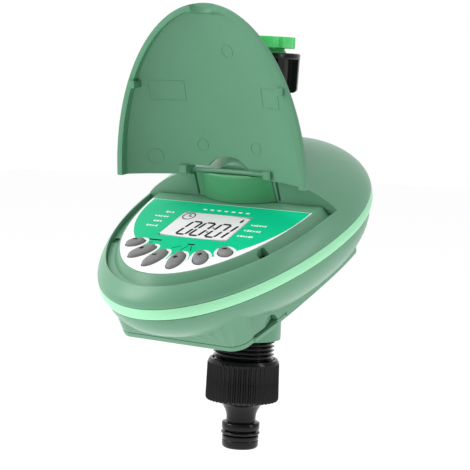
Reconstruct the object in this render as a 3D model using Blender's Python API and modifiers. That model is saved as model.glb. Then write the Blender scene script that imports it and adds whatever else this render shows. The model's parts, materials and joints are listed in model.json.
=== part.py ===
"""Hose-tap irrigation timer: a tilted egg-shaped case on a vertical water pipe.

Frame: metres, +Z up along the water pipe, the control panel faces -Y and +X is to its right.
The origin is the centre of the inlet's top ring.  Lengths below are in millimetres and are
turned into metres when a mesh is made.  Two working frames share one centre, on the pipe:
PIPE is upright, and EGG is tilted about X, with x across, y to the rear and z out of the panel.
"""
import math

import bmesh
import bpy
from mathutils import Matrix, Vector

MM = 0.001
GAP = 0.3

# ---- driving dimensions -------------------------------------------------------------------
PIPE_CENTRE_DROP = 72.0          # inlet top ring down to the case's centre
CASE_TILT = 24.0                 # degrees, panel leaning towards the user

EGG_HALF_WIDTH = 52.0
EGG_FRONT = 81.4
EGG_REAR = 64.0
EGG_CENTRE = -6.0
DOME_HEIGHT = 23.25
DOME_POWER = 1.75
DOME_REAR_SHIFT = 8.0
BAND_TOP = -2.85
BAND_BOTTOM = -8.6
BAND_INSET = 1.7
BOWL_DEPTH = 27.5
WALL = 2.2
LID_WALL = 1.25                  # thin enough to clear the label at the front
OUTLINE_STEPS = 44
DOME_RINGS = 7
LID_CAVITY_RINGS = 14

BACK_WALL = -6.5
RIM_LEVEL = 4.65
RECESS_CENTRE = -7.0
RECESS_HALF_WIDTH = 47.4
RECESS_LENGTH = 74.2
LEDGE_LEVEL = 1.5
LEDGE_UNDERSIDE = -0.9
GROOVE_LEVEL = 2.6
PANEL_LEVEL = 6.2
LABEL_THICK = 0.3
LABEL_REAR = -14.0

BOX_BOTTOM = -30.5
BOX_FRONT = -67.3
BOX_REAR = 26.0
BOX_DRAFT = 0.12
DOOR_THICK = 2.0
DOOR_REAR = -37.4                # forward enough to swing clear of the floor behind it
DOOR_END_GAP = 0.7
DOOR_HINGE = (-35.2, -29.0)

HINGE = (-8.9, 19.9)
HINGE_HALF = 22.3
PIN_RADIUS = 1.2
LID_OPEN = 106.7                 # degrees from shut to the resting, open position
LID_RIM_LEVEL = 2.9

LCD_HALF = 16.8
LCD_REAR = -23.1
LCD_FRONT = -43.9
BUTTON_TOP = 7.7
BUTTON_FOCUS = -35.0
BUTTONS = (                      # x, y, half length, half width
    (-22.4, -52.8, 4.1, 2.8),
    (-14.5, -59.2, 6.3, 3.1),
    (-5.2, -63.3, 6.9, 3.1),
    (5.2, -63.3, 6.7, 3.1),
    (14.5, -59.2, 5.6, 3.1),
    (22.4, -52.8, 4.1, 2.8),
)

CELL_RADIUS = 7.1
CELL_HALF = 25.0
CELL_LEVEL = -20.2
CELL_PLACES = (-57.6, -42.8)

VALVE_LEVEL = -8.0
BALL_RADIUS = 8.5
PIPE_RADIUS = 10.5
VALVE_RADIUS = 11.2
COLLAR_RADIUS = 15.6
COLLAR_BOTTOM = -57.5
THREAD_RADIUS = 13.2
SOCKET_RADIUS = 9.4              # half-inch tap thread inside the adapter
NOZZLE_END = -105.6
CONNECTOR_TOP = -66.4

GEAR_MODULE = 0.9
WHEEL_TEETH = 24
PINION_TEETH = 8
GEAR_BACKLASH = 0.12
MESH_ANGLE = 30.0                # from the valve stem up to the idler, in degrees
SCREW_PLACES = ((-29.5, 0.0), (29.5, 0.0), (-30.0, 30.0), (30.0, 30.0))
POST_RADIUS = 3.4

# ---- colours: red, green, blue, roughness, metallic ---------------------------------------
SAGE = (0.165, 0.33, 0.225, 0.45, 0.0)
LEAF = (0.09, 0.36, 0.15, 0.4, 0.0)
MINT = (0.36, 0.78, 0.49, 0.4, 0.0)
EMERALD = (0.0, 0.56, 0.3, 0.45, 0.0)
SPRING_GREEN = (0.07, 0.66, 0.16, 0.4, 0.0)
BLACK = (0.018, 0.018, 0.02, 0.4, 0.0)
GREY = (0.3, 0.3, 0.3, 0.6, 0.0)
PALE = (0.65, 0.65, 0.66, 0.3, 0.0)
WHITE = (0.8, 0.8, 0.78, 0.4, 0.0)
BOARD_GREEN = (0.02, 0.2, 0.08, 0.5, 0.0)
STEEL = (0.55, 0.55, 0.56, 0.3, 1.0)
BRASS = (0.7, 0.5, 0.2, 0.3, 1.0)

EGG = Matrix.Translation((0, 0, -PIPE_CENTRE_DROP * MM)) @ Matrix.Rotation(math.radians(CASE_TILT), 4, "X")
PIPE = Matrix.Translation((0, 0, -PIPE_CENTRE_DROP * MM))


# ---- scene helpers ------------------------------------------------------------------------
def clear_scene():
    for thing in list(bpy.data.objects):
        bpy.data.objects.remove(thing, do_unlink=True)


def new_collection(name):
    group = bpy.data.collections.new(name)
    bpy.context.scene.collection.children.link(group)
    return group


def material_for(name, finish):
    red, green, blue, roughness, metallic = finish
    material = bpy.data.materials.new(name + "_finish")
    material.use_nodes = True
    shader = material.node_tree.nodes["Principled BSDF"]
    shader.inputs["Base Color"].default_value = (red, green, blue, 1.0)
    shader.inputs["Roughness"].default_value = roughness
    shader.inputs["Metallic"].default_value = metallic
    material.diffuse_color = (red, green, blue, 1.0)
    return material


def place(name, bm, frame, finish=None):
    """A mesh object in a frame.  Without a finish it is a helper for a Boolean."""
    bmesh.ops.recalc_face_normals(bm, faces=bm.faces)
    bmesh.ops.scale(bm, vec=(MM, MM, MM), verts=bm.verts)
    mesh = bpy.data.meshes.new(name)
    bm.to_mesh(mesh)
    bm.free()
    thing = bpy.data.objects.new(name, mesh)
    thing.matrix_world = frame
    if finish is None:
        HELPERS.objects.link(thing)
        thing.hide_render = True
        thing.display_type = "WIRE"
    else:
        PARTS.objects.link(thing)
        mesh.materials.append(material_for(name, finish))
    return thing


def boolean(thing, helper, operation):
    modifier = thing.modifiers.new(helper.name, "BOOLEAN")
    modifier.operation = operation
    modifier.solver = "EXACT"
    modifier.object = helper


def cut(thing, *helpers):
    for helper in helpers:
        boolean(thing, helper, "DIFFERENCE")


def join(thing, *helpers):
    for helper in helpers:
        boolean(thing, helper, "UNION")


def keep_inside(thing, helper):
    boolean(thing, helper, "INTERSECT")


def round_edges(thing, width, segments=2, angle=40.0):
    modifier = thing.modifiers.new("round", "BEVEL")
    modifier.width = width * MM
    modifier.segments = segments
    modifier.limit_method = "ANGLE"
    modifier.angle_limit = math.radians(angle)


def smooth(thing, angle=35.0):
    thing.data.shade_smooth()
    thing.data.set_sharp_from_angle(angle=math.radians(angle))


def set_origin(thing, point):
    """Move the object's origin to a point of its own frame, in millimetres."""
    offset = Vector(point) * MM
    thing.data.transform(Matrix.Translation(-offset))
    thing.matrix_world = thing.matrix_world @ Matrix.Translation(offset)


def apply_modifiers(thing):
    """Give the object its evaluated mesh, so that it can be turned away from its cutters."""
    bpy.context.view_layer.update()
    evaluated = thing.evaluated_get(bpy.context.evaluated_depsgraph_get())
    mesh = bpy.data.meshes.new_from_object(evaluated)
    thing.modifiers.clear()
    thing.data = mesh


# ---- shape helpers ------------------------------------------------------------------------
def box(name, low, high, frame, finish=None):
    bm = bmesh.new()
    bmesh.ops.create_cube(bm, size=1.0)
    size = Vector(high) - Vector(low)
    middle = (Vector(high) + Vector(low)) / 2
    bmesh.ops.scale(bm, vec=size, verts=bm.verts)
    bmesh.ops.translate(bm, vec=middle, verts=bm.verts)
    return place(name, bm, frame, finish)


def cylinder(name, start, end, radius, frame, finish=None, segments=32, end_radius=None):
    bm = bmesh.new()
    axis = Vector(end) - Vector(start)
    tip = radius if end_radius is None else end_radius
    bmesh.ops.create_cone(bm, cap_ends=True, segments=segments, radius1=radius, radius2=tip, depth=axis.length)
    turn = axis.to_track_quat("Z", "Y").to_matrix().to_4x4()
    middle = (Vector(start) + Vector(end)) / 2
    bmesh.ops.transform(bm, matrix=Matrix.Translation(middle) @ turn, verts=bm.verts)
    return place(name, bm, frame, finish)


def ball(name, centre, radii, frame, finish=None, segments=24):
    bm = bmesh.new()
    bmesh.ops.create_uvsphere(bm, u_segments=segments, v_segments=segments // 2, radius=1.0)
    bmesh.ops.scale(bm, vec=radii, verts=bm.verts)
    bmesh.ops.translate(bm, vec=centre, verts=bm.verts)
    return place(name, bm, frame, finish)


def turned(name, profile, frame, finish=None, steps=28):
    """A closed profile of (radius, height), down the outside first, screwed about Z."""
    bm = bmesh.new()
    corners = [bm.verts.new((radius, 0, height)) for radius, height in profile]
    for near, far in zip(corners, corners[1:] + corners[:1]):
        bm.edges.new((near, far))
    thing = place(name, bm, frame, finish)
    screw = thing.modifiers.new("screw", "SCREW")
    screw.axis = "Z"
    screw.steps = steps
    screw.render_steps = steps
    screw.use_merge_vertices = True
    screw.merge_threshold = 0.00001
    return thing


def loft(name, rings, frame, finish=None, closed=False):
    """Skin between rings of equal length.  A closed loft joins its last ring to its first."""
    bm = bmesh.new()
    rows = [[bm.verts.new(point) for point in ring] for ring in rings]
    pairs = list(zip(rows, rows[1:]))
    if closed:
        pairs.append((rows[-1], rows[0]))
    else:
        bm.faces.new(rows[0])
        bm.faces.new(rows[-1])
    for low, high in pairs:
        for index in range(len(low)):
            after = (index + 1) % len(low)
            bm.faces.new((low[index], low[after], high[after], high[index]))
    return place(name, bm, frame, finish)


def prism(name, outline, bottom, top, frame, finish=None):
    rings = [[(x, y, level) for x, y in outline] for level in (bottom, top)]
    return loft(name, rings, frame, finish)


# ---- outlines -----------------------------------------------------------------------------
def egg_ring(level, inset=0.0, scale=1.0, shift=0.0):
    """One level of the egg: a short half ellipse to the rear and a long one to the front."""
    ring = []
    for step in range(OUTLINE_STEPS):
        angle = 2 * math.pi * step / OUTLINE_STEPS
        reach = EGG_REAR if math.cos(angle) > 0 else EGG_FRONT
        x = (EGG_HALF_WIDTH - inset) * scale * math.sin(angle)
        y = EGG_CENTRE + shift + (reach - inset) * scale * math.cos(angle)
        ring.append((x, y, level))
    return ring


def dome_rings(inset, base, count=DOME_RINGS):
    """Rings of the dome from the base level up, its top drifting to the rear."""
    rings = [egg_ring(base, inset)]
    for step in range(count + 1):
        angle = math.radians(87.0) * step / count
        rise = math.sin(angle) ** (2 / DOME_POWER)
        level = BAND_TOP + (DOME_HEIGHT - inset) * rise
        if level > base + 0.01:
            rings.append(egg_ring(level, inset, math.cos(angle), DOME_REAR_SHIFT * rise ** 2))
    return rings


def bowl_rings(inset, top):
    rings = [egg_ring(top, inset + BAND_INSET)]
    for step in range(DOME_RINGS):
        angle = math.radians(84.0) * step / (DOME_RINGS - 1)
        level = BAND_BOTTOM - (BOWL_DEPTH - inset) * math.sin(angle)
        if level < top - 0.01:
            rings.append(egg_ring(level, inset + BAND_INSET, math.cos(angle)))
    return rings


def half_oval(inset, rear, steps=29):
    """The recess outline: half an ellipse whose open end is closed straight across at the rear."""
    half_width = RECESS_HALF_WIDTH - inset
    length = RECESS_LENGTH - inset
    start = math.asin((RECESS_CENTRE - rear) / length)
    points = []
    for step in range(steps + 1):
        angle = start + (math.pi - 2 * start) * step / steps
        points.append((half_width * math.cos(angle), RECESS_CENTRE - length * math.sin(angle)))
    return points


def box_outline(outset):
    """The battery box in plan: a straight front, sides that widen to the rear, rounded corners."""
    corner = 7.0
    side = ((31.4, BOX_FRONT + corner), (33.6, -44.0), (35.4, -20.0), (36.2, 4.0), (35.6, BOX_REAR - corner))
    half = []
    for step in range(5):
        angle = math.radians(90.0 * step / 4)
        x = side[0][0] - corner + (corner + outset) * math.sin(angle)
        y = side[0][1] - (corner + outset) * math.cos(angle)
        half.append((x, y))
    half += [(x + outset, y) for x, y in side[1:-1]]
    for step in range(5):
        angle = math.radians(90.0 * step / 4)
        x = side[-1][0] - corner + (corner + outset) * math.cos(angle)
        y = side[-1][1] + (corner + outset) * math.sin(angle)
        half.append((x, y))
    return half + [(-x, y) for x, y in reversed(half)]


def gear_outline(teeth, tooth_at):
    """Trapezoid teeth about the origin, with the middle of one tooth at an angle in degrees."""
    pitch_radius = GEAR_MODULE * teeth / 2
    step_angle = 2 * math.pi / teeth
    shape = (
        (-0.31, pitch_radius - 1.25 * GEAR_MODULE),
        (-0.11, pitch_radius + 0.85 * GEAR_MODULE),
        (0.11, pitch_radius + 0.85 * GEAR_MODULE),
        (0.31, pitch_radius - 1.25 * GEAR_MODULE),
    )
    points = []
    for tooth in range(teeth):
        for part, radius in shape:
            angle = math.radians(tooth_at) + (tooth + part) * step_angle
            points.append((radius * math.cos(angle), radius * math.sin(angle)))
    return points


def gear(name, teeth, tooth_at, centre, near, far, finish=None):
    """A spur gear whose axis runs along Y in the PIPE frame, through centre (x, z)."""
    outline = gear_outline(teeth, tooth_at)
    rings = [[(centre[0] + x, level, centre[1] + z) for x, z in outline] for level in (near, far)]
    return loft(name, rings, PIPE, finish)


def polar(centre, reach, degrees):
    angle = math.radians(degrees)
    return (centre[0] + reach * math.cos(angle), centre[1] + reach * math.sin(angle))


GEAR_SPACING = GEAR_MODULE * (WHEEL_TEETH + PINION_TEETH) / 2 + GEAR_BACKLASH
STEM_AT = (0.0, VALVE_LEVEL)
IDLER_AT = polar(STEM_AT, GEAR_SPACING, MESH_ANGLE)
MOTOR_AT = polar(IDLER_AT, GEAR_SPACING, 180.0 - MESH_ANGLE)
FIRST_LAYER = (18.0, 21.0)
SECOND_LAYER = (21.5, 24.0)
FRONT_PLATE = (15.4, 16.9)
REAR_PLATE = (24.8, 26.3)


# ---- case ---------------------------------------------------------------------------------
def pipe_clearance(name, radius=VALVE_RADIUS + 0.4):
    return cylinder(name, (0, 0, -20), (0, 0, 40), radius, PIPE)


def make_upper_shell():
    shell = loft("upper_shell", dome_rings(0.0, BAND_TOP + GAP / 2), EGG, SAGE)
    cut(shell, box("front_clear", (-60, -100, RIM_LEVEL), (60, BACK_WALL, 30), EGG))
    cavity = loft("dome_cavity", dome_rings(WALL, BAND_TOP - 2), EGG)
    cut(cavity, box("cavity_front", (-60, -100, LEDGE_UNDERSIDE), (60, BACK_WALL + WALL, 30), EGG))
    cut(shell, cavity)
    cut(shell, prism("panel_pocket", half_oval(0.0, BACK_WALL - 0.01), LEDGE_LEVEL, 20, EGG))
    cut(shell, prism("panel_opening", half_oval(4.2, -10.0), -8, 6, EGG))
    cut(shell, pipe_clearance("shell_pipe_hole"))
    for index, (x, y) in enumerate(SCREW_PLACES):
        post = cylinder(f"upper_post_{index}", (x, y, BAND_TOP + GAP / 2), (x, y, 18), POST_RADIUS, EGG, segments=12)
        keep_inside(post, loft(f"upper_post_limit_{index}", dome_rings(0.6, BAND_TOP - 3), EGG))
        join(shell, post)
        cut(shell, cylinder(f"upper_pilot_{index}", (x, y, -10), (x, y, -0.2), 1.75, EGG, segments=8))
    smooth(shell)


def make_trim_band():
    profile = ((0.1, BAND_TOP - GAP / 2), (-0.4, -4.6), (0.2, -7.0), (1.6, BAND_BOTTOM + GAP / 2),
               (3.6, BAND_BOTTOM + GAP / 2), (3.6, BAND_TOP - GAP / 2))
    rings = [egg_ring(level, inset) for inset, level in profile]
    smooth(loft("trim_band", rings, EGG, MINT, closed=True))


def box_rings(inset, bottom, top):
    """The drafted battery box between two levels."""
    rings = []
    for level in (bottom, top):
        outset = (level - BOX_BOTTOM) * BOX_DRAFT - inset
        rings.append([(x, y, level) for x, y in box_outline(outset)])
    return rings


def make_lower_shell():
    shell = loft("lower_shell", bowl_rings(0.0, BAND_BOTTOM - GAP / 2), EGG, SAGE)
    join(shell, loft("box_outside", box_rings(0.0, BOX_BOTTOM, -13.0), EGG))
    cut(shell, box("below_case", (-80, -120, -60), (80, 90, BOX_BOTTOM), EGG))
    join(shell, cylinder("collar", (0, 0, COLLAR_BOTTOM), (0, 0, -26), COLLAR_RADIUS, PIPE, segments=32))
    cavity = loft("bowl_cavity", bowl_rings(WALL, BAND_BOTTOM + 3), EGG)
    join(cavity, loft("box_inside", box_rings(WALL, BOX_BOTTOM - 2, -11.0), EGG))
    cut(cavity, box("cavity_floor", (-80, -120, -60), (80, 90, BOX_BOTTOM + WALL), EGG))
    cut(shell, cavity)
    lip = [egg_ring(level, inset) for inset, level in ((4.0, -2.2), (4.0, -11.0), (6.0, -11.0), (6.0, -2.2))]
    join(shell, loft("locating_lip", lip, EGG, closed=True))
    join(shell, box("battery_partition", (-34, -32.4, BOX_BOTTOM + 1), (34, -30.4, -12.5), EGG))
    for index, (x, y) in enumerate(SCREW_PLACES):
        post = cylinder(f"lower_post_{index}", (x, y, BOX_BOTTOM + 0.8), (x, y, BAND_TOP - GAP / 2), POST_RADIUS, EGG, segments=12)
        keep_inside(post, loft(f"lower_post_limit_{index}", bowl_rings(0.6, BAND_BOTTOM + 6), EGG))
        join(shell, post)
        cut(shell, cylinder(f"lip_gap_{index}", (x, y, BAND_TOP - GAP / 2), (x, y, 0), POST_RADIUS + 0.5, EGG, segments=12))
        cut(shell, cylinder(f"screw_well_{index}", (x, y, -40), (x, y, -12), 2.8, EGG, segments=12))
        cut(shell, cylinder(f"screw_way_{index}", (x, y, -14), (x, y, 0), 1.75, EGG, segments=8))
    band = ((-1.0, BAND_BOTTOM - GAP / 2), (3.9, BAND_BOTTOM - GAP / 2), (3.9, 0.0), (-1.0, 0.0))
    cut(shell, loft("band_space", [egg_ring(level, inset) for inset, level in band], EGG, closed=True))
    cut(shell, box("door_space", (-50, -90, -40), (50, DOOR_REAR + DOOR_END_GAP, BOX_BOTTOM + DOOR_THICK + GAP), EGG))
    for side in (-1, 1):
        near, far = sorted((side * 17.7, side * 22.4))
        join(shell, box(f"door_lug_{side}", (near, -37.0, -30.3), (far, -31.5, -26.6), EGG))
    cut(shell, box("barrel_space", (-17.4, -38, -32), (17.4, -33.0, -26.8), EGG))
    cut(shell, cylinder("door_pin_way", (-23.5, *DOOR_HINGE), (23.5, *DOOR_HINGE), 1.1, EGG, segments=16))
    cut(shell, cylinder("outlet_way", (0, 0, -70), (0, 0, -10), THREAD_RADIUS + 0.4, PIPE, segments=32))
    smooth(shell)


def make_case_screws():
    for index, (x, y) in enumerate(SCREW_PLACES):
        profile = ((1.4, -1.4), (1.4, -11.7 - GAP), (2.5, -11.7 - GAP), (2.5, -13.8), (0.0, -13.8), (0.0, -1.4))
        screw = turned(f"case_screw_{index + 1}", profile, EGG @ Matrix.Translation((x * MM, y * MM, 0)), STEEL, 10)
        recess = box(f"screw_slot_{index}", (-1.6, -0.35, -15), (1.6, 0.35, -13.0), screw.matrix_world)
        cut(screw, recess)


# ---- battery compartment ------------------------------------------------------------------
def make_battery_door():
    door = loft("battery_door", box_rings(0.0, BOX_BOTTOM, BOX_BOTTOM + DOOR_THICK), EGG, SAGE)
    cut(door, box("door_end", (-60, DOOR_REAR, -40), (60, 60, -20), EGG))
    for side in (-1, 1):
        near, far = sorted((side * 29.0, side * 36.0))
        grip = box(f"door_grip_{side}", (near, -58.5, BOX_BOTTOM + 0.2), (far, -43.5, BOX_BOTTOM + 1.7), EGG)
        keep_inside(grip, loft(f"door_grip_limit_{side}", box_rings(-0.9, BOX_BOTTOM - 1, BOX_BOTTOM + 3), EGG))
        join(door, grip)
        near, far = sorted((side * 17.4, side * 22.7))
        cut(door, box(f"door_lug_space_{side}", (near, -37.9, -40), (far, -30, -20), EGG))
    join(door, box("door_tongue", (-17.0, -39.0, BOX_BOTTOM + 0.4), (17.0, DOOR_HINGE[0], -28.6), EGG))
    join(door, cylinder("door_barrel", (-17.0, *DOOR_HINGE), (17.0, *DOOR_HINGE), 1.6, EGG, segments=20))
    cut(door, cylinder("door_pin_bore", (-18.0, *DOOR_HINGE), (18.0, *DOOR_HINGE), 1.1, EGG, segments=16))
    set_origin(door, (0, *DOOR_HINGE))
    smooth(door)
    pin = cylinder("battery_door_pin", (-22.0, *DOOR_HINGE), (22.0, *DOOR_HINGE), 0.8, EGG, STEEL, segments=16)
    smooth(pin)


def make_batteries():
    for index, y in enumerate(CELL_PLACES):
        facing = 1 if index == 0 else -1
        turn = Matrix.Translation((0, y * MM, CELL_LEVEL * MM)) @ Matrix.Rotation(math.radians(90 * facing), 4, "Y")
        profile = ((2.6, CELL_HALF), (2.6, CELL_HALF - 1.2), (CELL_RADIUS - 0.6, CELL_HALF - 1.2),
                   (CELL_RADIUS, CELL_HALF - 1.9), (CELL_RADIUS, 0.5 - CELL_HALF),
                   (CELL_RADIUS - 0.6, -CELL_HALF), (0.0, -CELL_HALF), (0.0, CELL_HALF))
        smooth(turned(f"battery_cell_{index + 1}", profile, EGG @ turn, BRASS, 20))
        positive = facing * (CELL_HALF + GAP + 0.4)
        low, high = sorted((positive, positive + facing * 0.8))
        box(f"battery_contact_{index + 1}", (low, y - 5, CELL_LEVEL - 5), (high, y + 5, CELL_LEVEL + 6), EGG, STEEL)
        make_battery_spring(index, -facing, y)


def make_battery_spring(index, side, y):
    """A tapered coil between a cell's flat end and the compartment's side wall."""
    wire = bpy.data.curves.new(f"battery_spring_{index + 1}", "CURVE")
    wire.dimensions = "3D"
    wire.bevel_depth = 0.35 * MM
    wire.bevel_resolution = 2
    wire.use_fill_caps = True
    turns, per_turn = 2.5, 8
    count = int(turns * per_turn) + 1
    spline = wire.splines.new("POLY")
    spline.points.add(count - 1)
    for step in range(count):
        part = step / (count - 1)
        angle = 2 * math.pi * turns * part
        radius = 2.2 + 2.0 * part
        x = side * (CELL_HALF + 0.75 + 2.2 * part)
        point = (x, y + radius * math.cos(angle), CELL_LEVEL + radius * math.sin(angle))
        spline.points[step].co = (*(Vector(point) * MM), 1.0)
    thing = bpy.data.objects.new(wire.name, wire)
    thing.matrix_world = EGG
    wire.materials.append(material_for(wire.name, STEEL))
    PARTS.objects.link(thing)


# ---- control panel ------------------------------------------------------------------------
def block_outline(grow, back):
    """A shallow arc that bulges forward from the back wall, closed straight across."""
    half, depth = 18.4 * grow, 4.6 * grow
    radius = (half * half + depth * depth) / (2 * depth)
    reach = math.asin(half / radius)
    points = []
    for step in range(17):
        angle = -reach + 2 * reach * step / 16
        points.append((radius * math.sin(angle), back - radius * math.cos(angle) + radius - depth))
    return points


def make_hinge_block():
    back = BACK_WALL - GAP
    levels = ((1.03, PANEL_LEVEL + GAP), (1.0, HINGE[1] - 0.7))
    rings = [[(x, y, level) for x, y in block_outline(grow, back)] for grow, level in levels]
    block = loft("hinge_block", rings, EGG, LEAF)
    cut(block, cylinder("pin_saddle", (-20, *HINGE), (20, *HINGE), PIN_RADIUS + 0.35, EGG, segments=24))
    cut(block, pipe_clearance("block_pipe_space"))
    smooth(block)


def button_matrix(x, y):
    heading = math.atan2(BUTTON_FOCUS - y, -x)
    return Matrix.Translation((x, y, 0)) @ Matrix.Rotation(heading, 4, "Z")


def button_body(name, entry, grow, bottom, top, finish=None, segments=16):
    x, y, half_length, half_width = entry
    bm = bmesh.new()
    bmesh.ops.create_cone(bm, cap_ends=True, segments=segments, radius1=1.0, radius2=1.0, depth=top - bottom)
    bmesh.ops.scale(bm, vec=(half_length + grow, half_width + grow, 1.0), verts=bm.verts)
    bmesh.ops.translate(bm, vec=(0, 0, (top + bottom) / 2), verts=bm.verts)
    bmesh.ops.transform(bm, matrix=button_matrix(x, y), verts=bm.verts)
    return place(name, bm, EGG, finish)


def make_buttons():
    for index, entry in enumerate(BUTTONS):
        button = button_body(f"button_{index + 1}", entry, 0.0, 3.0, BUTTON_TOP, GREY)
        set_origin(button, (entry[0], entry[1], 0))
        round_edges(button, 0.7, segments=1)
        smooth(button)


def make_button_pad():
    pad = prism("button_pad", half_oval(9.0, -49.0, steps=13), -0.3, 0.5, EGG, GREY)
    for index, entry in enumerate(BUTTONS):
        post = cylinder(f"pad_post_{index}", (entry[0], entry[1], 0.1), (entry[0], entry[1], 1.9), 1.7, EGG, segments=8)
        join(pad, post)


def make_control_panel():
    rear = BACK_WALL - GAP
    levels = ((0.3, rear, LEDGE_LEVEL + GAP), (0.3, rear, GROOVE_LEVEL),
              (3.4, rear - 0.6, GROOVE_LEVEL), (5.8, rear - 0.6, PANEL_LEVEL))
    rings = [[(x, y, level) for x, y in half_oval(inset, back)] for inset, back, level in levels]
    panel = loft("control_panel", rings, EGG, SAGE)
    cut(panel, prism("panel_hollow", half_oval(7.6, -13.5), -2, PANEL_LEVEL - 1.9, EGG))
    cut(panel, box("lcd_opening", (-LCD_HALF - GAP, LCD_FRONT - GAP, 0),
                   (LCD_HALF + GAP, LCD_REAR + GAP, 10), EGG))
    for index, entry in enumerate(BUTTONS):
        cut(panel, button_body(f"panel_hole_{index}", entry, 0.4, 0, 10))
    for side in (-1, 1):
        near, far = sorted((side * 34.2, side * 40.0))
        cut(panel, box(f"latch_slot_{side}", (near, -48.4, 0), (far, -44.0, 5.8), EGG))
    cut(panel, pipe_clearance("panel_pipe_space"))
    smooth(panel)


def make_panel_label():
    bottom = PANEL_LEVEL + 0.1
    label = prism("panel_label", half_oval(6.6, LABEL_REAR), bottom, bottom + LABEL_THICK, EGG, EMERALD)
    cut(label, box("label_window", (-LCD_HALF - GAP, LCD_FRONT - GAP, 0),
                   (LCD_HALF + GAP, LCD_REAR + GAP, 10), EGG))
    for index, entry in enumerate(BUTTONS):
        cut(label, button_body(f"label_hole_{index}", entry, 0.4, 0, 10))


def make_display():
    lens = box("lcd_lens", (-LCD_HALF, LCD_FRONT, PANEL_LEVEL - 1.2), (LCD_HALF, LCD_REAR, PANEL_LEVEL + 0.6), EGG, PALE)
    round_edges(lens, 0.3)
    low = (-LCD_HALF - 0.8, LCD_FRONT - 1.0, 0.0)
    high = (LCD_HALF + 0.8, LCD_REAR + 1.0, PANEL_LEVEL - 2.2)
    module = box("lcd_module", low, high, EGG, PALE)
    round_edges(module, 0.4)


def make_circuit_board():
    board = prism("circuit_board", half_oval(7.6, -16.5), -2.2, -0.6, EGG, BOARD_GREEN)
    chip = box("board_chip", (6, -38, -4.2), (16, -28, -2.0), EGG)
    beeper = cylinder("board_beeper", (-14, -34, -7.5), (-14, -34, -2.0), 5.5, EGG, segments=24)
    join(board, chip, beeper)


# ---- lid ----------------------------------------------------------------------------------
def make_lid():
    lid = loft("lid", dome_rings(0.0, BAND_TOP), EGG, SAGE)
    keep_inside(lid, prism("lid_outside", half_oval(0.4, BACK_WALL - 0.5), LID_RIM_LEVEL, 40, EGG))
    inside = loft("lid_cavity", dome_rings(LID_WALL, BAND_TOP, LID_CAVITY_RINGS), EGG)
    keep_inside(inside, prism("lid_inside", half_oval(2.9, BACK_WALL + 3.0), 0, 40, EGG))
    cut(lid, inside)
    cut(lid, box("lid_notch", (-19.3, HINGE[0] - 2.2, 0), (19.3, 0, 40), EGG))
    cut(lid, cylinder("lid_arch", (0, HINGE[0] + 7.4, 0), (0, HINGE[0] + 7.4, 40), 14.0, EGG, segments=40))
    for side in (-1, 1):
        near, far = side * 19.3, side * 23.2
        knuckle = cylinder(f"lid_knuckle_{side}", (near + side * 0.1, *HINGE), (far, *HINGE), 2.3, EGG, segments=24)
        low, high = sorted((near + side * 0.15, far - side * 0.2))
        root = box(f"lid_knuckle_root_{side}", (low, HINGE[0] - 2.15, 15.0), (high, HINGE[0] + 1.2, HINGE[1] - 0.1), EGG)
        join(lid, knuckle, root)
        tab = sorted((side * 35.2, side * 38.4))
        join(lid, box(f"lid_latch_{side}", (tab[0], -47.7, LID_RIM_LEVEL - 1.3), (tab[1], -44.7, 6.5), EGG))
    cut(lid, ball("finger_scoop", (0, -73.5, 2.5), (9.0, 6.4, 4.0), EGG))
    cut(lid, cylinder("lid_pin_bore", (-22.7, *HINGE), (22.7, *HINGE), PIN_RADIUS + 0.3, EGG, segments=24))
    smooth(lid)
    pin = cylinder("lid_hinge_pin", (-HINGE_HALF, *HINGE), (HINGE_HALF, *HINGE), PIN_RADIUS, EGG, SAGE, segments=24)
    smooth(pin)
    apply_modifiers(lid)
    open_turn = Matrix.Rotation(math.radians(-LID_OPEN), 4, "X")
    for piece in (lid, pin):
        set_origin(piece, (0, *HINGE))
        piece.matrix_world = piece.matrix_world @ open_turn


# ---- water way ----------------------------------------------------------------------------
def make_valve_body():
    bore_step = VALVE_LEVEL + 9.5
    profile = ((14.2, 61.0), (14.2, 58.0), (PIPE_RADIUS, 58.0), (PIPE_RADIUS, 3.0), (VALVE_RADIUS, 2.0),
               (VALVE_RADIUS, -22.0), (8.8, -22.0), (8.8, bore_step), (5.2, bore_step), (5.2, 8.0),
               (7.5, 10.0), (7.5, 61.0))
    body = turned("valve_body", profile, PIPE, BLACK)
    join(body, cylinder("stem_boss", (0, 9.6, VALVE_LEVEL), (0, 14.8, VALVE_LEVEL), 5.6, PIPE, segments=24))
    cut(body, cylinder("stem_way", (0, 5.0, VALVE_LEVEL), (0, 16.0, VALVE_LEVEL), 2.6, PIPE, segments=24))
    cut(body, cylinder("ring_groove", (0, 11.4, VALVE_LEVEL), (0, 13.4, VALVE_LEVEL), 4.1, PIPE, segments=24))
    smooth(body)


def make_outlet_tube():
    profile = ((8.4, VALVE_LEVEL - 9.6), (8.4, -22.0 - GAP), (VALVE_RADIUS, -22.0 - GAP), (VALVE_RADIUS, -29.0),
               (THREAD_RADIUS - 1.0, -30.0), (THREAD_RADIUS, -32.0), (THREAD_RADIUS, -79.0),
               (THREAD_RADIUS - 1.2, -80.2), (8.6, -80.2), (8.6, -40.0), (5.2, -34.0), (5.2, VALVE_LEVEL - 9.6))
    smooth(turned("outlet_tube", profile, PIPE, BLACK))


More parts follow.
